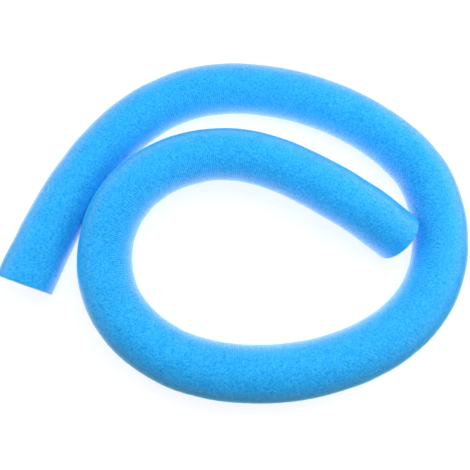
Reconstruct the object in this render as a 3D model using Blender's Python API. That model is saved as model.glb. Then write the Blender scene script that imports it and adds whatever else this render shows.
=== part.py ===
"""Pool noodle: one foam tube, sawn square at both ends, bent flat into a spiral of a little over a turn.

The outer turn lies on the floor. The inner turn leans against the first length, arches clear of the floor
across the middle, and noses down to the floor again beside the outer turn.
"""

import math

import bmesh
import bpy
import numpy as np

# Foam tube
TUBE_LENGTH = 1.65
TUBE_DIAMETER = 0.060
BORE_DIAMETER = 0.020

# Lie of the spiral
TURN_GAP = 0.0009
FLAT_DEPTH = 0.0005

# The outer turn in plan, from the first end round to where the tube leaves the floor.
# Each point is x and y as shares of the spiral's width, and its rise as a share of the tube's diameter.
OUTER_TURN_SHARES = (
    (-0.440, -0.146, 0.0),
    (-0.381, 0.014, 0.0),
    (-0.306, 0.150, 0.0),
    (-0.210, 0.251, 0.0),
    (-0.085, 0.310, 0.0),
    (0.054, 0.317, 0.0),
    (0.190, 0.286, 0.0),
    (0.314, 0.221, 0.0),
    (0.409, 0.121, 0.0),
    (0.440, -0.014, 0.0),
    (0.395, -0.161, 0.0),
    (0.280, -0.262, 0.0),
    (0.133, -0.311, 0.0),
    (-0.022, -0.317, 0.0),
    (-0.155, -0.278, 0.015),
    (-0.255, -0.183, 0.058),
    (-0.280, -0.063, 0.095),
)

# The inner turn beside the outer one, from where they touch to the second end.
# Each point is a share of the way round the outer turn, then its distance from touching and its rise,
# both as shares of the tube's diameter.
INNER_TURN_SHARES = (
    (0.111, 0.024, 0.230),
    (0.170, 0.256, 0.247),
    (0.248, 0.551, 0.258),
    (0.321, 0.699, 0.292),
    (0.381, 0.818, 0.314),
    (0.448, 0.820, 0.309),
    (0.543, 0.467, 0.221),
    (0.574, -0.201, -0.020),
)

# Fineness of the mesh: a tube has four sides more than twice its bevel steps.
TUBE_RINGS = 110
TUBE_BEVEL_STEPS = 12
BORE_RINGS = 56
BORE_BEVEL_STEPS = 4
ROUTE_POINTS = 600
FITTING_ROUNDS = 8
WELD_DISTANCE = 0.00001
SHARP_EDGE_DEGREES = 40

# Every cutter runs this far past what it cuts.
OVERRUN = 0.010

# The measure of the gap between turns. Stretches of tube less than this many diameters apart along it
# are neighbours, not turns side by side.
NEIGHBOUR_SHARE = 1.5
GAP_ANGLES = 48

FOAM_COLOUR = (0.055, 0.440, 0.960, 1.0)
FOAM_ROUGHNESS = 0.85


def clear_scene():
    for obj in list(bpy.data.objects):
        bpy.data.objects.remove(obj, do_unlink=True)


def new_collection(name):
    collection = bpy.data.collections.new(name)
    bpy.context.scene.collection.children.link(collection)
    return collection


def foam_material():
    material = bpy.data.materials.new("sky_blue_foam")
    material.use_nodes = True
    shader = material.node_tree.nodes["Principled BSDF"]
    shader.inputs["Base Color"].default_value = FOAM_COLOUR
    shader.inputs["Roughness"].default_value = FOAM_ROUGHNESS
    shader.inputs["Metallic"].default_value = 0.0
    return material


def path_length(points):
    return float(np.linalg.norm(np.diff(points, axis=0), axis=1).sum())


def smooth_curve(points, count):
    """A natural cubic spline through the points, read at even steps along it."""
    points = np.asarray(points, float)
    steps = np.linalg.norm(np.diff(points, axis=0), axis=1)
    knots = np.concatenate([[0.0], np.cumsum(steps)])
    system = np.eye(len(points))
    turning = np.zeros_like(points)
    for i in range(1, len(points) - 1):
        before, after = steps[i - 1], steps[i]
        system[i, i - 1 : i + 2] = before, 2 * (before + after), after
        turning[i] = 6 * ((points[i + 1] - points[i]) / after - (points[i] - points[i - 1]) / before)
    bend = np.linalg.solve(system, turning)
    places = np.linspace(0.0, knots[-1], count)
    i = np.clip(np.searchsorted(knots, places) - 1, 0, len(points) - 2)
    step = steps[i][:, None]
    start = (knots[i + 1] - places)[:, None] / step
    end = 1 - start
    straight = start * points[i] + end * points[i + 1]
    return straight + ((start**3 - start) * bend[i] + (end**3 - end) * bend[i + 1]) * step**2 / 6


def beside(turn, share, spare_share, rise_share):
    """A point on the inner side of the turn, its rise and its distance from touching given in diameters."""
    place = share * (len(turn) - 1)
    i = min(int(place), len(turn) - 2)
    along = turn[i + 1] - turn[i]
    inward = np.array([along[1], -along[0], 0.0]) / np.linalg.norm(along[:2])
    rise = rise_share * TUBE_DIAMETER
    touching = math.sqrt((TUBE_DIAMETER + TURN_GAP) ** 2 - rise**2)
    on_turn = turn[i] + (place - i) * along
    return on_turn + inward * (touching + spare_share * TUBE_DIAMETER) + np.array([0.0, 0.0, rise])


def route_of_width(width):
    """The tube's centreline for a spiral of this width, both turns on one smooth curve."""
    floor_height = TUBE_DIAMETER / 2 - FLAT_DEPTH
    outer = np.array([(x * width, y * width, floor_height) for x, y, _ in OUTER_TURN_SHARES])
    turn = smooth_curve(outer, ROUTE_POINTS)
    inner = [beside(turn, *row) for row in INNER_TURN_SHARES]
    outer[:, 2] += [rise * TUBE_DIAMETER for _, _, rise in OUTER_TURN_SHARES]
    return smooth_curve(np.vstack([outer, inner]), ROUTE_POINTS)


def directions(points):
    along = np.gradient(points, axis=0)
    return along / np.linalg.norm(along, axis=1)[:, None]


def centred(points):
    """The route, moved so that the middle of the tube's plan is at the origin."""
    reach = TUBE_DIAMETER / 2 * np.sqrt(1 - directions(points) ** 2)
    middle = ((points - reach).min(axis=0) + (points + reach).max(axis=0)) / 2
    return points - np.array([middle[0], middle[1], 0.0])


def noodle_route():
    """The centreline of the whole tube, with the spiral as wide as the tube's length allows."""
    width = TUBE_LENGTH / math.pi
    for _ in range(FITTING_ROUNDS):
        width *= TUBE_LENGTH / path_length(route_of_width(width))
    return centred(route_of_width(width))


def at_even_steps(points, count):
    places = np.concatenate([[0.0], np.cumsum(np.linalg.norm(np.diff(points, axis=0), axis=1))])
    even = np.linspace(0.0, places[-1], count)
    return np.stack([np.interp(even, places, points[:, axis]) for axis in range(3)], axis=1)


def least_gap(points):
    """The least gap from points on the tube's surface, both rims included, to another turn of it."""
    along = directions(points)
    across = np.cross(along, (0.0, 0.0, 1.0))
    across /= np.linalg.norm(across, axis=1)[:, None]
    upward = np.cross(across, along)
    places = np.linspace(0.0, 1.0, len(points))
    neighbours = np.abs(places[:, None] - places) < NEIGHBOUR_SHARE * TUBE_DIAMETER / TUBE_LENGTH
    nearest = []
    for angle in np.linspace(0.0, 2 * math.pi, GAP_ANGLES, endpoint=False):
        surface = points + TUBE_DIAMETER / 2 * (math.cos(angle) * across + math.sin(angle) * upward)
        apart = np.linalg.norm(surface[:, None] - points, axis=2)
        apart[neighbours] = math.inf
        # What is nearest to an end of the centreline lies past that end's face, so only the rim counts there.
        inside_ends = np.isin(apart.argmin(axis=1), (0, len(points) - 1), invert=True)
        nearest.append(apart.min(axis=1)[inside_ends].min())
    return float(min(nearest)) - TUBE_DIAMETER / 2


def lengthened(points, run):
    """The points with one more beyond each end, straight on by the run."""
    along = directions(points)
    return np.vstack([points[0] - run * along[0], points, points[-1] + run * along[-1]])


def tube_object(name, points, diameter, bevel_steps, collection):
    """A closed round tube along the points, as a mesh object."""
    curve = bpy.data.curves.new(name + "_path", "CURVE")
    curve.dimensions = "3D"
    curve.twist_mode = "Z_UP"
    curve.bevel_depth = diameter / 2
    curve.bevel_resolution = bevel_steps
    curve.use_fill_caps = True
    spline = curve.splines.new("POLY")
    spline.points.add(len(points) - 1)
    for spline_point, point in zip(spline.points, points):
        spline_point.co = (*point, 1.0)
    path = bpy.data.objects.new(name + "_path", curve)
    collection.objects.link(path)
    bpy.context.view_layer.update()
    evaluated = path.evaluated_get(bpy.context.evaluated_depsgraph_get())
    tube = bpy.data.objects.new(name, bpy.data.meshes.new_from_object(evaluated))
    tube.matrix_world = path.matrix_world.copy()
    collection.objects.link(tube)
    bpy.data.objects.remove(path, do_unlink=True)
    weld_caps(tube.data)
    return tube


def weld_caps(mesh):
    shape = bmesh.new()
    shape.from_mesh(mesh)
    bmesh.ops.remove_doubles(shape, verts=shape.verts, dist=WELD_DISTANCE)
    bmesh.ops.recalc_face_normals(shape, faces=shape.faces)
    shape.to_mesh(mesh)
    shape.free()


def floor_box(points, collection):
    """A box with its top at the floor, under the whole tube."""
    reach = TUBE_DIAMETER / 2 + OVERRUN
    low = points[:, :2].min(axis=0) - reach
    high = points[:, :2].max(axis=0) + reach
    shape = bmesh.new()
    bmesh.ops.create_cube(shape, size=1.0)
    bmesh.ops.scale(shape, verts=shape.verts, vec=(*(high - low), OVERRUN))
    mesh = bpy.data.meshes.new("floor_box")
    shape.to_mesh(mesh)
    shape.free()
    box = bpy.data.objects.new("floor_box", mesh)
    box.location = (*((low + high) / 2), -OVERRUN / 2)
    collection.objects.link(box)
    return box


def cut(obj, cutter):
    cutter.hide_render = True
    cutter.display_type = "WIRE"
    boolean = obj.modifiers.new("cut_" + cutter.name, "BOOLEAN")
    boolean.operation = "DIFFERENCE"
    boolean.solver = "EXACT"
    boolean.object = cutter


def foam_tube(route, parts, cutters):
    """The noodle: an outer tube, bored right through and flat where it rests on the floor."""
    rings = at_even_steps(route, TUBE_RINGS)
    tube = tube_object("foam_tube", rings, TUBE_DIAMETER, TUBE_BEVEL_STEPS, parts)
    bore_path = lengthened(at_even_steps(route, BORE_RINGS), OVERRUN)
    cut(tube, tube_object("bore", bore_path, BORE_DIAMETER, BORE_BEVEL_STEPS, cutters))
    cut(tube, floor_box(route, cutters))
    tube.data.materials.append(foam_material())
    tube.data.shade_smooth()
    tube.data.set_sharp_from_angle(angle=math.radians(SHARP_EDGE_DEGREES))
    return tube


def main():
    clear_scene()
    parts = new_collection("pool_noodle")
    cutters = new_collection("cutters")
    route = noodle_route()
    foam_tube(route, parts, cutters)
    print(f"tube {path_length(route):.3f} m long, least gap to itself {least_gap(route) * 1000:.2f} mm")


main()
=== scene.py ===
"""Pool noodle in sky blue foam, lying bent round into an open spiral on a bright white table.

The tube follows the same centreline as the solid part. Bends squeeze it a little oval and crease its inner
side, turns that lean on each other flatten where they touch, and both ends are sawn square through the bore.
"""

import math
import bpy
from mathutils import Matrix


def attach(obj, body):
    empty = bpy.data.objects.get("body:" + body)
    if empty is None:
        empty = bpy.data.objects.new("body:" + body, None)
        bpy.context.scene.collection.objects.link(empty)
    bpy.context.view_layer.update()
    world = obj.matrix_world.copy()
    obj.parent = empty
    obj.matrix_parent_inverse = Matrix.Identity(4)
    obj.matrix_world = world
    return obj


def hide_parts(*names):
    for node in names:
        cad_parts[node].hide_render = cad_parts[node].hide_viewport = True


bl_info = {
    "name": "Pool Noodle",
    "version": (1, 0, 0),
    "blender": (4, 5, 0),
    "location": "View3D > Sidebar > Pool Noodle",
    "description": "Builds a foam pool noodle lying in an open spiral, and a white table to show it on",
    "category": "Add Mesh",
}

import bpy
import numpy as np
from bpy.props import FloatProperty, FloatVectorProperty, IntProperty, PointerProperty
from mathutils import Vector

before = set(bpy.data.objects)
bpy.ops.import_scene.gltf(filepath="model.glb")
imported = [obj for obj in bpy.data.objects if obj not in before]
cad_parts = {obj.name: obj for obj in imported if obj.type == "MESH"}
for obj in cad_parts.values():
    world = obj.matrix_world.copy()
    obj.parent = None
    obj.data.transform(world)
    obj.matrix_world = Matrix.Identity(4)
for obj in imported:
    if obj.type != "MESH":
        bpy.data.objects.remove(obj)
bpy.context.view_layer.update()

# The outer turn in plan, from the first end round to where the tube leaves the floor.
# Each point is x and y as shares of the spiral's width, and its rise as a share of the tube's diameter.
OUTER_TURN_SHARES = (
    (-0.440, -0.146, 0.0),
    (-0.381, 0.014, 0.0),
    (-0.306, 0.150, 0.0),
    (-0.210, 0.251, 0.0),
    (-0.085, 0.310, 0.0),
    (0.054, 0.317, 0.0),
    (0.190, 0.286, 0.0),
    (0.314, 0.221, 0.0),
    (0.409, 0.121, 0.0),
    (0.440, -0.014, 0.0),
    (0.395, -0.161, 0.0),
    (0.280, -0.262, 0.0),
    (0.133, -0.311, 0.0),
    (-0.022, -0.317, 0.0),
    (-0.155, -0.278, 0.015),
    (-0.255, -0.183, 0.058),
    (-0.280, -0.063, 0.095),
)

# The inner turn beside the outer one, from where they touch to the second end.
# Each point is a share of the way round the outer turn, then its distance from touching and its rise,
# both as shares of the tube's diameter.
INNER_TURN_SHARES = (
    (0.111, 0.024, 0.230),
    (0.170, 0.256, 0.247),
    (0.248, 0.551, 0.258),
    (0.321, 0.699, 0.292),
    (0.381, 0.818, 0.314),
    (0.448, 0.820, 0.309),
    (0.543, 0.467, 0.221),
    (0.574, -0.201, -0.020),
)

# Points on the centreline while the spiral's width is fitted to the tube's length, and once it is.
ROUTE_POINTS = 600
FINE_ROUTE_POINTS = 4000
FITTING_ROUNDS = 8

# Turns side by side are at least this many diameters apart along the tube, and lean on each other where
# their centrelines are no more than this much over a diameter apart. Skin swells towards the other turn by
# this power of how squarely it faces it, and is pressed back to this distance from it.
NEIGHBOUR_SHARE = 1.5
LEANING_SPARE = 0.003
SWELLING_POWER = 6
SKIN_TO_SKIN = 0.0001
PRESSING_ROUNDS = 8

# The kinds of surface, which are also the numbers of their material slots.
SKIN, SAWN, BORE = 0, 1, 2

# Rings of the mesh round each sawn rim, by how far the surface has turned there in degrees, across each
# sawn face, and along the bore.
RIM_ANGLES = (30.0, 60.0, 90.0)
FACE_RINGS = 16
BORE_RINGS = 120

# Sums of random waves over the surface. Each row is the number of waves, the least and most length of one,
# the most turns that one makes round the tube, and the seed of its random draws.
LUMP_WAVES = (40, (0.03, 0.14), 3, 11)
PEEL_WAVES = (90, (0.005, 0.012), 24, 12)
CREASE_DRIFT_WAVES = (24, (0.02, 0.08), 2, 13)
CREASE_PATCH_WAVES = (24, (0.015, 0.05), 6, 14)
SAWN_WAVES = (60, (0.02, 0.05), 20, 15)

# How far the creases drift, in radians of their own wave, and how much of their depth a middling patch keeps.
CREASE_DRIFT = 2.5
CREASE_PATCH = 0.6

# The saw's marks on the ends: the distance between them, their direction, and how the unevenness between
# them is stretched across the end. Then the shares of both in the depth, and of the skin's unevenness in
# the bore's.
SAW_STEP = 0.0041
SAW_ANGLE = 0.5
SAWN_STRETCH = 6
SAW_MARK_SHARE = 0.5
SAWN_ROUGH_SHARE = 0.7
BORE_UNEVEN_SHARE = 0.6

# Textures in the foam's materials, by the names of their sockets, and the size of the cells and the grain
# in a material that sets none of its own.
USUAL_SIZE = 0.002
GRAIN_NOISE = {"Detail": 2.0, "Roughness": 0.6}
MOTTLE_NOISE = {"Scale": 38.0, "Detail": 3.0, "Roughness": 0.55}
CREASE_BANDS = {"Scale": 120.0, "Distortion": 3.0, "Detail": 2.0, "Detail Scale": 1.6}
BORE_LINES = {"Scale": 1.0, "Detail": 2.0}
BORE_LINES_PER_METRE = (900.0, 25.0, 1.0)

# The part that single cells have in the foam's shade and in its height, where the grain has the rest. The
# shared grain paints shade into the hollows that it makes.
CELL_SHADE_SHARE = 0.25
CELL_HEIGHT_SHARE = 0.35

# The cells' shades at which the colour is wholly the deep one and wholly the pale one.
SKIN_SHADES = (0.3, 0.7)
SAWN_SHADES = (0.25, 0.65)

# The values between which the mottle turns from darkest to brightest, how much it darkens and brightens the
# skin, and how much smoother and rougher than the rest single cells are.
MOTTLE_RANGE = (0.3, 0.7)
MOTTLE_DEPTH = 0.03
ROUGHNESS_DEPTH = 0.05

# What all the foam's materials share, with the edge gloss that the darkest cells keep.
FOAM_FINISH = {"Metallic": 0.0, "IOR": 1.5, "Coat IOR": 4.0, "Coat Roughness": 0.3}
DARK_CELL_GLOSS = 0.5

# What the sawn ends and the bore have of their own.
SAWN_BUMPS = {"Strength": 0.8, "Distance": 0.0006}
SAWN_ROUGHNESS = 0.85
BORE_BUMPS = {"Strength": 0.5, "Distance": 0.0005}
BORE_ROUGHNESS = 0.7

# The table lies this far below the floor, so that it and the noodle's flat underside don't coincide.
TABLE_DROP = 0.0002

# What the light overhead is aimed at, near the middle of the noodle.
OVERHEAD_AIM = (0.0, 0.02, 0.0)

# How much a reflected ray points towards +Y, from -1 to 1, where the haze begins and where it is full.
HAZE_EDGE = (-0.1, 0.35)

SENSOR_WIDTH = 36.0
CAMERA_CLIP_START = 0.01
WHITE, BLACK = (1.0, 1.0, 1.0, 1.0), (0.0, 0.0, 0.0, 1.0)


class NoodleTubeSettings(bpy.types.PropertyGroup):
    """Sizes of the foam tube and of what bending does to it"""

    length: FloatProperty(
        name="Length",
        description="Length of the tube along its centreline",
        default=1.65,
        min=1.2,
        unit="LENGTH",
    )
    diameter: FloatProperty(
        name="Diameter",
        description="Outside diameter of the straight tube",
        default=0.060,
        min=0.04,
        unit="LENGTH",
    )
    bore: FloatProperty(
        name="Bore",
        description="Diameter of the hole along the tube",
        default=0.020,
        min=0.005,
        unit="LENGTH",
    )
    turn_gap: FloatProperty(
        name="Turn Gap",
        description="Least gap between the round turns before they press together",
        default=0.0009,
        min=0.0,
        unit="LENGTH",
    )
    flat_depth: FloatProperty(
        name="Flat Depth",
        description="How far the floor flattens the foam",
        default=0.0005,
        min=0.0,
        unit="LENGTH",
    )
    oval: FloatProperty(
        name="Oval Share",
        description="How much narrower and taller the tightest bend is",
        default=0.03,
        min=0.0,
        max=0.1,
        subtype="FACTOR",
    )
    press: FloatProperty(
        name="Press",
        description="How far a turn swells towards the turn that it leans on",
        default=0.0012,
        min=0.0,
        unit="LENGTH",
    )
    rim: FloatProperty(
        name="Rim Radius",
        description="Rounding of the sawn rims",
        default=0.0009,
        min=0.0001,
        unit="LENGTH",
    )
    ring_step: FloatProperty(
        name="Ring Step",
        description="Distance between the rings of the skin's mesh",
        default=0.00118,
        min=0.0008,
        unit="LENGTH",
    )
    sides: IntProperty(
        name="Sides",
        description="Points round the tube",
        default=64,
        min=24,
    )
    lump: FloatProperty(
        name="Lumps",
        description="Height of the skin's slow waviness",
        default=0.00018,
        min=0.0,
        unit="LENGTH",
    )
    peel: FloatProperty(
        name="Peel",
        description="Height of the skin's fine unevenness",
        default=0.00005,
        min=0.0,
        unit="LENGTH",
    )
    crease: FloatProperty(
        name="Creases",
        description="Depth of the creases inside the tightest bend",
        default=0.00010,
        min=0.0,
        unit="LENGTH",
    )
    crease_step: FloatProperty(
        name="Crease Step",
        description="Distance from crease to crease",
        default=0.0052,
        min=0.001,
        unit="LENGTH",
    )
    saw_mark: FloatProperty(
        name="Saw Marks",
        description="Unevenness of the sawn ends",
        default=0.00018,
        min=0.0,
        unit="LENGTH",
    )


class NoodleFoamSettings(bpy.types.PropertyGroup):
    """Colours and finish of the foam"""

    # Pale end of the foam's colour: the foam's own blue, with a little red that paints a faint sheen of the
    # light overhead, which no reflection shows.
    colour: FloatVectorProperty(
        name="Foam Colour",
        description="Colour of the skin between its dimples, with a painted faint sheen in its red",
        default=(0.050, 0.515, 1.000),
        min=0.0,
        max=1.0,
        size=3,
        subtype="COLOR",
    )
    # Dark end of the foam's colour: partly the cells' own darker tone, partly painted shade in the dimples,
    # where the grain both sinks and darkens the skin.
    dark_tone_and_dimple_shade: FloatVectorProperty(
        name="Deep Colour",
        description="Colour of the darkest cells, with painted shade in the dimples",
        default=(0.000, 0.320, 0.860),
        min=0.0,
        max=1.0,
        size=3,
        subtype="COLOR",
    )
    sawn_colour: FloatVectorProperty(
        name="Sawn Colour",
        description="Colour of the cut cells at the ends",
        default=(0.020, 0.490, 0.960),
        min=0.0,
        max=1.0,
        size=3,
        subtype="COLOR",
    )
    cell_size: FloatProperty(
        name="Cell Size",
        description="Width of a foam cell",
        default=0.0013,
        min=0.0003,
        unit="LENGTH",
    )
    grain_size: FloatProperty(
        name="Grain Size",
        description="Width of a patch of cells that is darker or paler than the next",
        default=0.0026,
        min=0.0005,
        unit="LENGTH",
    )
    bumps: FloatProperty(
        name="Bumps",
        description="Height of the pebbled skin",
        default=0.0012,
        min=0.0,
        unit="LENGTH",
    )
    crease_height: FloatProperty(
        name="Fine Creases",
        description="Height of the fine creases inside the tightest bend, where the pebbled skin's is 1",
        default=0.4,
        min=0.0,
    )
    # Painted shade: the troughs of the fine creases are coloured darker and their crests paler.
    crease_painted_shade: FloatProperty(
        name="Crease Shade",
        description="How much darker the fine creases are than the skin between them",
        default=0.5,
        min=0.0,
    )
    roughness: FloatProperty(
        name="Roughness",
        description="Roughness of the skin",
        default=0.55,
        min=0.0,
        max=1.0,
        subtype="FACTOR",
    )
    edge_gloss: FloatProperty(
        name="Edge Gloss",
        description="How strongly the skin shines where it is seen edge on",
        default=2.1,
        min=0.0,
    )
    edge_power: FloatProperty(
        name="Edge Width",
        description="The larger, the closer to the edge the shine stays",
        default=2.6,
        min=0.5,
    )
    sheen: FloatProperty(
        name="Sheen",
        description="Soft haze over the skin where it is seen edge on",
        default=1.0,
        min=0.0,
        max=1.0,
        subtype="FACTOR",
    )
    sheen_roughness: FloatProperty(
        name="Sheen Roughness",
        description="The larger, the wider the haze",
        default=0.3,
        min=0.0,
        max=1.0,
        subtype="FACTOR",
    )
    sheen_tint: FloatVectorProperty(
        name="Sheen Tint",
        description="Colour of the haze",
        default=(0.1, 0.75, 1.0),
        min=0.0,
        max=1.0,
        size=3,
        subtype="COLOR",
    )


class NoodleStageSettings(bpy.types.PropertyGroup):
    """The table, the lights and the camera"""

    table_size: FloatProperty(
        name="Table Size",
        description="Side of the white table",
        default=8.0,
        min=1.0,
        unit="LENGTH",
    )
    table_colour: FloatVectorProperty(
        name="Table Colour",
        description="Colour of the white table",
        default=(0.93, 0.93, 0.93),
        min=0.0,
        max=1.0,
        size=3,
        subtype="COLOR",
    )
    table_white: FloatProperty(
        name="Table White",
        description="Added brightness that only the camera sees",
        default=0.83,
        min=0.0,
    )
    far_white: FloatProperty(
        name="Far White",
        description="The same far from the noodle, where the lamps don't reach",
        default=1.0,
        min=0.0,
    )
    shadow_share: FloatProperty(
        name="Shadow Share",
        description="How much of the noodle's shadow the camera sees on the table",
        default=0.25,
        min=0.0,
        max=1.0,
        subtype="FACTOR",
    )
    table_glow: FloatProperty(
        name="Table Glow",
        description="Soft light that comes up through the lit part of the table",
        default=1.0,
        min=0.0,
    )
    glow_middle: FloatVectorProperty(
        name="Glow Middle",
        description="Middle of the lit part of the table",
        default=(0.02, 0.30, 0.0),
        size=3,
        subtype="TRANSLATION",
    )
    glow_reach: FloatProperty(
        name="Glow Reach",
        description="Radius within which the table is fully lit",
        default=0.42,
        min=0.0,
        unit="LENGTH",
    )
    glow_end: FloatProperty(
        name="Glow End",
        description="Radius outside which the table is only dimly lit",
        default=0.56,
        min=0.0,
        unit="LENGTH",
    )
    dim_glow: FloatProperty(
        name="Dim Glow",
        description="Soft light that comes up through the dim part of the table",
        default=0.4,
        min=0.0,
    )
    lit_mirrored: FloatProperty(
        name="Lit Mirrored",
        description="Brightness of the lit part of the table as reflections see it",
        default=0.9,
        min=0.0,
        max=1.0,
        subtype="FACTOR",
    )
    dim_mirrored: FloatProperty(
        name="Dim Mirrored",
        description="Brightness of the dim part of the table as reflections see it",
        default=0.005,
        min=0.0,
        max=1.0,
        subtype="FACTOR",
    )
    overhead_power: FloatProperty(
        name="Overhead Light",
        description="Power of the soft light overhead",
        default=4.7,
        min=0.0,
        unit="POWER",
    )
    overhead_place: FloatVectorProperty(
        name="Overhead Place",
        description="Where the soft light overhead hangs",
        default=(0.07, 0.10, 0.8),
        size=3,
        subtype="TRANSLATION",
    )
    overhead_size: FloatProperty(
        name="Overhead Size",
        description="Side of the soft light overhead",
        default=0.5,
        min=0.01,
        unit="LENGTH",
    )
    side_place: FloatVectorProperty(
        name="Side Place",
        description="Middle of the wall of light on the right, which the one on the left mirrors",
        default=(0.65, 0.08, 0.42),
        size=3,
        subtype="TRANSLATION",
    )
    side_size: FloatVectorProperty(
        name="Side Size",
        description="Length and height of the walls of light on both sides",
        default=(1.3, 0.35),
        min=0.01,
        size=2,
        unit="LENGTH",
    )
    left_power: FloatProperty(
        name="Left Light",
        description="Power of the soft wall of light on the left",
        default=3.45,
        min=0.0,
        unit="POWER",
    )
    right_power: FloatProperty(
        name="Right Light",
        description="Power of the soft wall of light on the right",
        default=4.2,
        min=0.0,
        unit="POWER",
    )
    haze: FloatProperty(
        name="Haze",
        description="Brightness of the surroundings behind the table as reflections see it",
        default=1.0,
        min=0.0,
        max=1.0,
        subtype="FACTOR",
    )
    camera_place: FloatVectorProperty(
        name="Camera Place",
        description="Where the camera stands",
        default=(-0.0366, -0.1576, 0.5454),
        size=3,
        subtype="TRANSLATION",
    )
    camera_turn: FloatVectorProperty(
        name="Camera Turn",
        description="How the camera is tilted from looking straight down",
        default=(0.2635, -0.0573, 0.0),
        size=3,
        subtype="EULER",
    )
    camera_lens: FloatProperty(
        name="Lens",
        description="Focal length in millimetres on a sensor 36 mm wide",
        default=36.0,
        min=10.0,
    )


def path_length(points):
    return float(np.linalg.norm(np.diff(points, axis=0), axis=1).sum())


def smooth_curve(points, count):
    """A natural cubic spline through the points, read at even steps along it."""
    points = np.asarray(points, float)
    steps = np.linalg.norm(np.diff(points, axis=0), axis=1)
    knots = np.concatenate([[0.0], np.cumsum(steps)])
    system = np.eye(len(points))
    turning = np.zeros_like(points)
    for i in range(1, len(points) - 1):
        before, after = steps[i - 1], steps[i]
        system[i, i - 1 : i + 2] = before, 2 * (before + after), after
        turning[i] = 6 * ((points[i + 1] - points[i]) / after - (points[i] - points[i - 1]) / before)
    bend = np.linalg.solve(system, turning)
    places = np.linspace(0.0, knots[-1], count)
    i = np.clip(np.searchsorted(knots, places) - 1, 0, len(points) - 2)
    step = steps[i][:, None]
    start = (knots[i + 1] - places)[:, None] / step
    end = 1 - start
    straight = start * points[i] + end * points[i + 1]
    return straight + ((start**3 - start) * bend[i] + (end**3 - end) * bend[i + 1]) * step**2 / 6


def beside(turn, share, spare_share, rise_share, tube):
    """A point on the inner side of the turn, its rise and its distance from touching given in diameters."""
    place = share * (len(turn) - 1)
    i = min(int(place), len(turn) - 2)
    along = turn[i + 1] - turn[i]
    inward = np.array([along[1], -along[0], 0.0]) / np.linalg.norm(along[:2])
    rise = rise_share * tube.diameter
    touching = math.sqrt((tube.diameter + tube.turn_gap) ** 2 - rise**2)
    on_turn = turn[i] + (place - i) * along
    return on_turn + inward * (touching + spare_share * tube.diameter) + np.array([0.0, 0.0, rise])


def route_of_width(width, tube, count):
    """The tube's centreline for a spiral of this width, both turns on one smooth curve."""
    floor_height = tube.diameter / 2 - tube.flat_depth
    outer = np.array([(x * width, y * width, floor_height) for x, y, _ in OUTER_TURN_SHARES])
    turn = smooth_curve(outer, ROUTE_POINTS)
    inner = [beside(turn, *row, tube) for row in INNER_TURN_SHARES]
    outer[:, 2] += [rise * tube.diameter for _, _, rise in OUTER_TURN_SHARES]
    return smooth_curve(np.vstack([outer, inner]), count)


def directions(points):
    along = np.gradient(points, axis=0)
    return along / np.linalg.norm(along, axis=1)[:, None]


def noodle_route(tube):
    """The centreline of the whole tube, with the spiral as wide as the tube's length allows."""
    width = tube.length / math.pi
    for _ in range(FITTING_ROUNDS):
        width *= tube.length / path_length(route_of_width(width, tube, ROUTE_POINTS))
    points = route_of_width(width, tube, FINE_ROUTE_POINTS)
    reach = tube.diameter / 2 * np.sqrt(1 - directions(points) ** 2)
    middle = ((points - reach).min(axis=0) + (points + reach).max(axis=0)) / 2
    return points - np.array([middle[0], middle[1], 0.0])


class Route:
    """The centreline, with what is right, up and ahead of each place on it, and how tightly it bends"""

    def __init__(self, points):
        self.points = points
        self.places = np.concatenate([[0.0], np.cumsum(np.linalg.norm(np.diff(points, axis=0), axis=1))])
        self.ahead = directions(points)
        right = np.cross(self.ahead, (0.0, 0.0, 1.0))
        self.right = right / np.linalg.norm(right, axis=1)[:, None]
        self.up = np.cross(self.right, self.ahead)
        turned = np.gradient(self.ahead, axis=0) / np.gradient(self.places)[:, None]
        self.bend = (turned * self.right).sum(axis=1)

    def read(self, values, places):
        if values.ndim == 1:
            return np.interp(places, self.places, values)
        return np.stack([np.interp(places, self.places, column) for column in values.T], axis=1)


def waves(places, angles, count, steps, most_turns, seed):
    """Smooth random heights of about 1 over the skin, which meet where they close round the tube."""
    chance = np.random.default_rng(seed)
    height = np.zeros(np.broadcast(places, angles).shape)
    for _ in range(count):
        step = chance.uniform(*steps)
        turns = chance.integers(-most_turns, most_turns + 1)
        height += np.cos(2 * math.pi * places / step + turns * angles + chance.uniform(0, 2 * math.pi))
    return height / math.sqrt(count)


def ring_rows(tube):
    """The rings of points all the way round the wall: on along the skin, in over the second sawn end, back
    along the bore and out over the first end. Each row has the place along the tube, the radius, how far the
    surface there faces outwards and ahead, and the kind of the surface from this ring to the next."""
    radius, bore, rim = tube.diameter / 2, tube.bore / 2, tube.rim
    turns = [math.radians(angle) for angle in RIM_ANGLES]
    rounded = [(rim * math.sin(a), radius - rim + rim * math.cos(a), a) for a in turns]
    across = np.linspace(radius - rim, bore + rim / 2, FACE_RINGS)[1:]
    skin = np.linspace(rim, tube.length - rim, round(tube.length / tube.ring_step))
    inside = np.linspace(tube.length - rim / 2, rim / 2, BORE_RINGS)
    rows = [(place, radius, 1.0, 0.0, SKIN) for place in skin]
    rows += [(tube.length - rim + out, r, math.cos(a), math.sin(a), SKIN) for out, r, a in rounded]
    rows[-1] = (*rows[-1][:4], SAWN)
    rows += [(tube.length, r, 0.0, 1.0, SAWN) for r in across]
    rows += [(place, bore, -1.0, 0.0, BORE) for place in inside]
    rows += [(0.0, r, 0.0, -1.0, SAWN) for r in across[::-1]]
    rows += [(rim - out, r, math.cos(a), -math.sin(a), SKIN) for out, r, a in reversed(rounded)]
    return np.array(rows)


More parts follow.
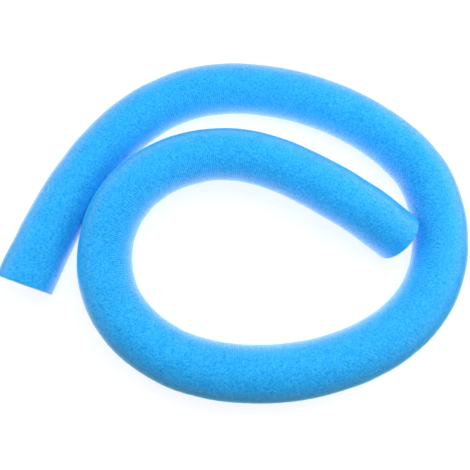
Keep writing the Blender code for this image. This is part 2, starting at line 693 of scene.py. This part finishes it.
def surface_heights(tube, rows, angles, squeeze):
    """How far each point stands out of the plain tube: lumps, fine unevenness, creases and saw marks."""
    places, radii, outwards, _, kinds = (column[:, None] for column in rows.T)
    lumps = tube.lump * waves(places, angles, *LUMP_WAVES)
    peel = tube.peel * waves(places, angles, *PEEL_WAVES)
    drift = CREASE_DRIFT * waves(places, angles, *CREASE_DRIFT_WAVES)
    crease = np.sin(2 * math.pi * places / tube.crease_step + drift)
    patch = np.clip(CREASE_PATCH + CREASE_PATCH * waves(places, angles, *CREASE_PATCH_WAVES), 0, 1)
    skin = lumps + peel + tube.crease * crease * patch * squeeze
    flat_x, flat_y = radii * np.cos(angles), radii * np.sin(angles)
    across_marks = flat_x * math.cos(SAW_ANGLE) + flat_y * math.sin(SAW_ANGLE)
    marks = np.sin(2 * math.pi * across_marks / SAW_STEP)
    rough = waves(flat_x * SAWN_STRETCH, angles, *SAWN_WAVES)
    sawn = tube.saw_mark * (SAW_MARK_SHARE * marks + SAWN_ROUGH_SHARE * rough)
    outwards = np.abs(outwards)
    return np.where(kinds == BORE, BORE_UNEVEN_SHARE * skin, outwards * skin + (1 - outwards) * sawn)


def swollen(points, centres, places, route, tube):
    """Skin that leans on another turn swells towards it, and both are pressed flat half way between them."""
    reach = tube.diameter + LEANING_SPARE
    inside_ends = (route.places > tube.diameter / 2) & (route.places < tube.length - tube.diameter / 2)
    for i, (ring, centre, place) in enumerate(zip(points, centres, places)):
        other = inside_ends & (np.abs(route.places - place) > NEIGHBOUR_SHARE * tube.diameter)
        near = route.points[other]
        apart = np.linalg.norm(near - centre, axis=1)
        if apart.min() > reach:
            continue
        near = near[apart < reach + tube.diameter / 2]
        towards = near[np.linalg.norm(near - centre, axis=1).argmin()] - centre
        lean = min(1.0, (reach - np.linalg.norm(towards)) / (LEANING_SPARE / 2))
        arms = ring - centre
        lengths = np.linalg.norm(arms, axis=1)
        arms = arms / lengths[:, None]
        facing = np.clip(arms @ (towards / np.linalg.norm(towards)), 0, 1)
        lengths = lengths + tube.press * lean * facing**SWELLING_POWER
        for _ in range(PRESSING_ROUNDS):
            skin = centre + arms * lengths[:, None]
            to_other = np.linalg.norm(skin[:, None] - near, axis=2).min(axis=1)
            lengths = lengths - np.clip(lengths + SKIN_TO_SKIN - to_other, 0, None) / 2
        points[i] = centre + arms * lengths[:, None]
    return points


def tube_points(tube, route, rows, angles):
    """The points of every ring, and how hard the bend squeezes the skin at each."""
    places = rows[:, 0]
    radius = tube.diameter / 2
    centres, bend = route.read(route.points, places), route.read(route.bend, places)
    right, up, ahead = (route.read(v, places)[:, None] for v in (route.right, route.up, route.ahead))
    oval = tube.oval * (bend / np.abs(route.bend).max()) ** 2
    squeeze = np.clip(bend[:, None] * radius * np.cos(angles), 0, None) / (np.abs(route.bend).max() * radius)
    centres[:, 2] += radius * oval
    cos, sin = np.cos(angles)[None, :, None], np.sin(angles)[None, :, None]
    out = (1 - oval)[:, None, None] * cos * right + (1 + oval)[:, None, None] * sin * up
    facing = rows[:, 2][:, None, None] * out + rows[:, 3][:, None, None] * ahead
    heights = surface_heights(tube, rows, angles, squeeze)
    points = centres[:, None] + rows[:, 1][:, None, None] * out + heights[..., None] * facing
    skin = (rows[:, 4] == SKIN) & (rows[:, 2] == 1.0)
    points[skin] = swollen(points[skin], centres[skin], places[skin], route, tube)
    points[..., 2] = np.clip(points[..., 2], 0.0, None)
    return points, squeeze


def foam_tube(tube, foam):
    """The noodle as one mesh, closed round the wall from the skin to the bore and back."""
    route = Route(noodle_route(tube))
    rows = ring_rows(tube)
    angles = np.linspace(-math.pi / 2, 3 * math.pi / 2, tube.sides, endpoint=False)
    points, squeeze = tube_points(tube, route, rows, angles)
    rings, sides = points.shape[:2]
    ring, side = np.meshgrid(np.arange(rings), np.arange(sides), indexing="ij")
    next_ring, next_side = (ring + 1) % rings, (side + 1) % sides
    corners = [(ring, side), (next_ring, side), (next_ring, next_side), (ring, next_side)]
    faces = np.stack([r * sides + s for r, s in corners], axis=-1).reshape(-1, 4)
    mesh = bpy.data.meshes.new("noodle_foam")
    mesh.from_pydata(points.reshape(-1, 3), [], faces)
    mesh.polygons.foreach_set("material_index", np.repeat(rows[:, 4].astype(np.int32), sides))
    mesh.shade_smooth()
    squeezed = mesh.attributes.new("squeeze", "FLOAT", "POINT")
    squeezed.data.foreach_set("value", squeeze.ravel().astype(np.float32))
    add_lengthwise_map(mesh, rows, tube)
    for material in (skin_material(foam), sawn_material(foam), bore_material(foam)):
        mesh.materials.append(material)
    piece = bpy.data.objects.new("noodle_foam", mesh)
    bpy.context.scene.collection.objects.link(piece)
    return piece


def add_lengthwise_map(mesh, rows, tube):
    """A map in metres: once round the tube across it, and along the tube up it."""
    rings, sides = len(rows), tube.sides
    along = np.concatenate([rows[:, 0], rows[:1, 0]])
    girth = math.pi * tube.diameter
    ring, side = np.meshgrid(np.arange(rings), np.arange(sides), indexing="ij")
    round_it = np.stack([side, side, side + 1, side + 1], axis=-1) * girth / sides
    along_it = np.stack([along[ring], along[ring + 1], along[ring + 1], along[ring]], axis=-1)
    spots = np.stack([round_it, along_it], axis=-1).astype(np.float32)
    mesh.uv_layers.new(name="lengthwise").data.foreach_set("uv", spots.ravel())


def feed(tree, node, inputs):
    """Link each input to the output that is given for it, or set it to the value that is given."""
    for name, value in inputs.items():
        if isinstance(value, bpy.types.NodeSocket):
            tree.links.new(value, node.inputs[name])
        else:
            node.inputs[name].default_value = value


def put(tree, kind, inputs=None, **settings):
    """A new node with its settings and inputs."""
    node = tree.nodes.new(kind)
    for name, value in settings.items():
        setattr(node, name, value)
    feed(tree, node, inputs or {})
    return node


def maths(tree, operation, first, second, clamp=False):
    node = put(tree, "ShaderNodeMath", {0: first, 1: second}, operation=operation, use_clamp=clamp)
    return node.outputs[0]


def blend_colours(tree, amount, first, second, mode="MIX"):
    """The mix of two colours, which are sockets 6 and 7 of the Mix node and come out of its socket 2."""
    node = put(tree, "ShaderNodeMix", {0: amount, 6: first, 7: second}, data_type="RGBA", blend_type=mode)
    return node.outputs[2]


def ranged(tree, value, ends, least=0.0, most=1.0, **settings):
    """The value, stretched so that its two ends become the least and the most, and held between them."""
    inputs = {"Value": value, "From Min": ends[0], "From Max": ends[1], "To Min": least, "To Max": most}
    return put(tree, "ShaderNodeMapRange", inputs, **settings).outputs[0]


def shared_out(tree, share, first, second):
    """The share of the first value plus the rest of the second."""
    rest = maths(tree, "MULTIPLY", second, 1.0 - share)
    return maths(tree, "ADD", maths(tree, "MULTIPLY", first, share), rest)


def foam_cells():
    """Node group: the foam's fine cells, as a shade from dark to pale and as a height, and a slow mottle.
    Shade and height share the grain, so the skin is painted darker where it sinks.
    """
    found = bpy.data.node_groups.get("foam_cells")
    if found:
        return found
    group = bpy.data.node_groups.new("foam_cells", "ShaderNodeTree")
    for name in ("Cell Size", "Grain Size"):
        size = group.interface.new_socket(name, in_out="INPUT", socket_type="NodeSocketFloat")
        size.default_value = USUAL_SIZE
    for name in ("Shade", "Mottle", "Height"):
        group.interface.new_socket(name, in_out="OUTPUT", socket_type="NodeSocketFloat")
    given = group.nodes.new("NodeGroupInput").outputs
    place = group.nodes.new("ShaderNodeTexCoord").outputs["Object"]
    cell_scale = maths(group, "DIVIDE", 1.0, given["Cell Size"])
    grain_scale = maths(group, "DIVIDE", 1.0, given["Grain Size"])
    cells = put(group, "ShaderNodeTexVoronoi", {"Vector": place, "Scale": cell_scale}).outputs
    grain_inputs = {"Vector": place, "Scale": grain_scale, **GRAIN_NOISE}
    grain = put(group, "ShaderNodeTexNoise", grain_inputs).outputs[0]
    mottle = put(group, "ShaderNodeTexNoise", {"Vector": place, **MOTTLE_NOISE}).outputs[0]
    own_shade = put(group, "ShaderNodeSeparateColor", {"Color": cells["Color"]}).outputs[0]
    dome = maths(group, "SUBTRACT", 1.0, cells["Distance"])
    # The grain goes into both the shade and the height, which paints shade into the dimples.
    shade = shared_out(group, CELL_SHADE_SHARE, own_shade, grain)
    height = shared_out(group, CELL_HEIGHT_SHARE, dome, grain)
    put(group, "NodeGroupOutput", {"Shade": shade, "Mottle": mottle, "Height": height})
    return group


def new_material(name):
    material = bpy.data.materials.new(name)
    material.use_nodes = True
    return material, material.node_tree, material.node_tree.nodes["Principled BSDF"]


def cells_in(tree, foam):
    """The outputs of the group of cells, placed in a material with the foam's sizes."""
    sizes = {"Cell Size": foam.cell_size, "Grain Size": foam.grain_size}
    return put(tree, "ShaderNodeGroup", sizes, node_tree=foam_cells()).outputs


def shared_finish(tree, shader, foam, shade):
    """Foam hardly shines face on, and seen edge on it shines more where its cells are pale."""
    facing = put(tree, "ShaderNodeLayerWeight").outputs["Facing"]
    edge = maths(tree, "MULTIPLY", maths(tree, "POWER", facing, foam.edge_power), foam.edge_gloss)
    broken = maths(tree, "ADD", shade, DARK_CELL_GLOSS)
    sheen = {
        "Sheen Weight": foam.sheen,
        "Sheen Roughness": foam.sheen_roughness,
        "Sheen Tint": (*foam.sheen_tint, 1.0),
    }
    coat = {"Coat Weight": maths(tree, "MULTIPLY", edge, broken, clamp=True)}
    feed(tree, shader, {**FOAM_FINISH, **sheen, **coat})


def lengthwise_spot(tree):
    """Where a point lies on the map made by add_lengthwise_map."""
    return put(tree, "ShaderNodeUVMap", uv_map="lengthwise").outputs[0]


def between_colours(tree, shade, deep, pale):
    return blend_colours(tree, shade, (*deep, 1.0), (*pale, 1.0))


def bumped(tree, height, bumps):
    """The direction that the surface faces where it stands out by this height."""
    return put(tree, "ShaderNodeBump", {"Height": height, **bumps}).outputs[0]


def skin_material(foam):
    """The closed skin: pigment that varies from cell to cell, with painted shade in its dimples and in the
    troughs of its fine creases and a faint sheen painted into its red, finely pebbled, and creased in the
    bends.
    """
    material, tree, shader = new_material("foam_skin")
    cells = cells_in(tree, foam)
    banding = {"Vector": lengthwise_spot(tree), **CREASE_BANDS}
    bands = put(tree, "ShaderNodeTexWave", banding, wave_type="BANDS", bands_direction="Y")
    squeeze = put(tree, "ShaderNodeAttribute", attribute_name="squeeze").outputs["Fac"]
    creases = maths(tree, "MULTIPLY", maths(tree, "SUBTRACT", bands.outputs["Fac"], 0.5), squeeze)
    # Painted shade in the crease troughs, and a paler colour on their crests.
    shade = maths(tree, "ADD", cells["Shade"], maths(tree, "MULTIPLY", creases, foam.crease_painted_shade))
    # The dark end paints shade into the dimples as well as the cells' own darker tone, and the pale end's red
    # paints a faint sheen.
    colour = between_colours(tree, ranged(tree, shade, SKIN_SHADES), foam.dark_tone_and_dimple_shade, foam.colour)
    mottle = ranged(tree, cells["Mottle"], MOTTLE_RANGE, 1.0 - MOTTLE_DEPTH, 1.0 + MOTTLE_DEPTH)
    least, most = foam.roughness - ROUGHNESS_DEPTH, foam.roughness + ROUGHNESS_DEPTH
    height = maths(tree, "ADD", cells["Height"], maths(tree, "MULTIPLY", creases, foam.crease_height))
    feed(tree, shader, {
        "Base Color": blend_colours(tree, 1.0, colour, mottle, mode="MULTIPLY"),
        "Roughness": ranged(tree, cells["Shade"], (0.0, 1.0), least, most),
        "Normal": bumped(tree, height, {"Strength": 1.0, "Distance": foam.bumps}),
    })
    shared_finish(tree, shader, foam, cells["Shade"])
    return material


def sawn_material(foam):
    """The sawn ends: cut cells, rougher and a little paler than the skin."""
    material, tree, shader = new_material("foam_sawn")
    cells = cells_in(tree, foam)
    shade = ranged(tree, cells["Shade"], SAWN_SHADES)
    feed(tree, shader, {
        # The dark end paints shade into the hollows of the cut cells as well as their own darker tone.
        "Base Color": between_colours(tree, shade, foam.dark_tone_and_dimple_shade, foam.sawn_colour),
        "Roughness": SAWN_ROUGHNESS,
        "Normal": bumped(tree, cells["Height"], SAWN_BUMPS),
    })
    shared_finish(tree, shader, foam, cells["Shade"])
    return material


def bore_material(foam):
    """The bore's wall: a drawn skin with faint lines along it."""
    material, tree, shader = new_material("foam_bore")
    cells = cells_in(tree, foam)
    stretching = {0: lengthwise_spot(tree), 1: BORE_LINES_PER_METRE}
    stretched = put(tree, "ShaderNodeVectorMath", stretching, operation="MULTIPLY").outputs[0]
    lines = put(tree, "ShaderNodeTexNoise", {"Vector": stretched, **BORE_LINES}).outputs[0]
    feed(tree, shader, {
        # The dark end paints shade into the bore's dimples as well as the cells' own darker tone, and the
        # pale end's red paints a faint sheen.
        "Base Color": between_colours(tree, cells["Shade"], foam.dark_tone_and_dimple_shade, foam.colour),
        "Roughness": BORE_ROUGHNESS,
        "Normal": bumped(tree, maths(tree, "ADD", cells["Height"], lines), BORE_BUMPS),
    })
    shared_finish(tree, shader, foam, cells["Shade"])
    return material


def white_table(stage):
    """A wide white table top. It glows softly, brightly behind the noodle and dimly in front of it, which
    lights the noodle from below. Reflections see a glow alone, the camera sees the table all as near white,
    and the noodle's shadow stays."""
    half = stage.table_size / 2
    corners = [(-half, -half, 0), (half, -half, 0), (half, half, 0), (-half, half, 0)]
    mesh = bpy.data.meshes.new("white_table")
    mesh.from_pydata(corners, [], [(0, 1, 2, 3)])
    material, tree, shader = new_material("table_white")
    rays = tree.nodes.new("ShaderNodeLightPath").outputs
    place = tree.nodes.new("ShaderNodeTexCoord").outputs["Object"]
    no_further = (stage.table_size, stage.glow_middle[1], 0.0)
    nearer = put(tree, "ShaderNodeVectorMath", {0: place, 1: no_further}, operation="MINIMUM").outputs[0]
    to_middle = put(tree, "ShaderNodeVectorMath", {0: nearer, 1: stage.glow_middle}, operation="DISTANCE")
    from_origin = put(tree, "ShaderNodeVectorMath", {0: place}, operation="LENGTH")
    away, outward = to_middle.outputs["Value"], from_origin.outputs["Value"]

    def seen_by(kind, distance, near, far):
        """What rays of this kind see of the table near by and far away."""
        ends = (stage.glow_reach, stage.glow_end)
        amount = ranged(tree, distance, ends, near, far, interpolation_type="SMOOTHSTEP")
        return maths(tree, "MULTIPLY", amount, rays[kind])

    unseen = maths(tree, "MULTIPLY", rays["Is Camera Ray"], 1.0 - stage.shadow_share)
    unseen = maths(tree, "ADD", unseen, rays["Is Glossy Ray"])
    glow = seen_by("Is Camera Ray", outward, stage.table_white, stage.far_white)
    glow = maths(tree, "ADD", glow, seen_by("Is Diffuse Ray", away, stage.table_glow, stage.dim_glow))
    glow = maths(tree, "ADD", glow, seen_by("Is Glossy Ray", away, stage.lit_mirrored, stage.dim_mirrored))
    feed(tree, shader, {
        "Base Color": blend_colours(tree, unseen, (*stage.table_colour, 1.0), BLACK),
        "Roughness": 1.0,
        "Specular IOR Level": 0.0,
        "Emission Color": WHITE,
        "Emission Strength": glow,
    })
    material.cycles.emission_sampling = "NONE"
    mesh.materials.append(material)
    table = bpy.data.objects.new("white_table", mesh)
    table.location.z = -TABLE_DROP
    bpy.context.scene.collection.objects.link(table)


def soft_light(name, place, aim, size, power):
    """A soft light at the place, aimed at a point. It shows neither to the camera nor in reflections."""
    lamp = bpy.data.lights.new(name, "AREA")
    lamp.shape = "RECTANGLE"
    lamp.size, lamp.size_y = size
    lamp.energy = power
    light = bpy.data.objects.new(name, lamp)
    light.location = place
    light.rotation_euler = (Vector(place) - Vector(aim)).to_track_quat("Z", "Y").to_euler()
    light.visible_camera = light.visible_glossy = False
    bpy.context.scene.collection.objects.link(light)


def white_surroundings(stage):
    """The camera sees white all round. Reflections see it white behind the table and dark in front, and it
    lights nothing else."""
    world = bpy.data.worlds.new("white_surroundings")
    world.use_nodes = True
    tree = world.node_tree
    rays = tree.nodes.new("ShaderNodeLightPath").outputs
    towards = tree.nodes.new("ShaderNodeTexCoord").outputs["Generated"]
    along = put(tree, "ShaderNodeSeparateXYZ", {0: towards}).outputs
    behind = ranged(tree, along["Y"], HAZE_EDGE, 0.0, stage.haze)
    mirrored = maths(tree, "MULTIPLY", behind, rays["Is Glossy Ray"])
    strength = maths(tree, "ADD", mirrored, rays["Is Camera Ray"])
    feed(tree, tree.nodes["Background"], {"Color": WHITE, "Strength": strength})
    world.cycles.sampling_method = "NONE"
    bpy.context.scene.world = world


def photo_camera(stage):
    camera = bpy.data.cameras.new("camera")
    camera.lens = stage.camera_lens
    camera.sensor_width = SENSOR_WIDTH
    camera.clip_start = CAMERA_CLIP_START
    stand = bpy.data.objects.new("camera", camera)
    stand.location = stage.camera_place
    stand.rotation_euler = stage.camera_turn
    bpy.context.scene.collection.objects.link(stand)
    bpy.context.scene.camera = stand


class NOODLE_OT_foam_tube(bpy.types.Operator):
    """Build the foam tube with its skin, sawn ends and bore"""

    bl_idname = "noodle.foam_tube"
    bl_label = "Foam Tube"

    def execute(self, context):
        piece = foam_tube(context.scene.noodle_tube, context.scene.noodle_foam)
        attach(piece, "root")
        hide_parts("foam_tube")
        return {"FINISHED"}


class NOODLE_OT_stage(bpy.types.Operator):
    """Set out the white table, the lights and the camera"""

    bl_idname = "noodle.stage"
    bl_label = "White Table"

    def execute(self, context):
        stage = context.scene.noodle_stage
        white_table(stage)
        x, y, z = stage.side_place
        square = (stage.overhead_size, stage.overhead_size)
        between_sides = (0.0, y, 0.0)
        soft_light("overhead_light", stage.overhead_place, OVERHEAD_AIM, square, stage.overhead_power)
        soft_light("left_light", (-x, y, z), between_sides, stage.side_size, stage.left_power)
        soft_light("right_light", (x, y, z), between_sides, stage.side_size, stage.right_power)
        white_surroundings(stage)
        photo_camera(stage)
        context.scene.view_settings.view_transform = "Standard"
        return {"FINISHED"}


class NOODLE_PT_sidebar(bpy.types.Panel):
    """The noodle's pieces and their settings"""

    bl_idname = "NOODLE_PT_sidebar"
    bl_label = "Pool Noodle"
    bl_space_type = "VIEW_3D"
    bl_region_type = "UI"
    bl_category = "Pool Noodle"

    def draw(self, context):
        scene = context.scene
        for operator, groups in (
            (NOODLE_OT_foam_tube, (scene.noodle_tube, scene.noodle_foam)),
            (NOODLE_OT_stage, (scene.noodle_stage,)),
        ):
            box = self.layout.box()
            box.operator(operator.bl_idname)
            for group in groups:
                for name in group.__annotations__:
                    box.prop(group, name)


GROUPS = {
    "noodle_tube": NoodleTubeSettings,
    "noodle_foam": NoodleFoamSettings,
    "noodle_stage": NoodleStageSettings,
}
CLASSES = (*GROUPS.values(), NOODLE_OT_foam_tube, NOODLE_OT_stage, NOODLE_PT_sidebar)


def register():
    for each in CLASSES:
        bpy.utils.register_class(each)
    for name, group in GROUPS.items():
        setattr(bpy.types.Scene, name, PointerProperty(type=group))


def unregister():
    for name in GROUPS:
        delattr(bpy.types.Scene, name)
    for each in reversed(CLASSES):
        bpy.utils.unregister_class(each)


def main():
    register()
    bpy.ops.noodle.foam_tube()
    bpy.ops.noodle.stage()


if __name__ == "__main__":
    main()
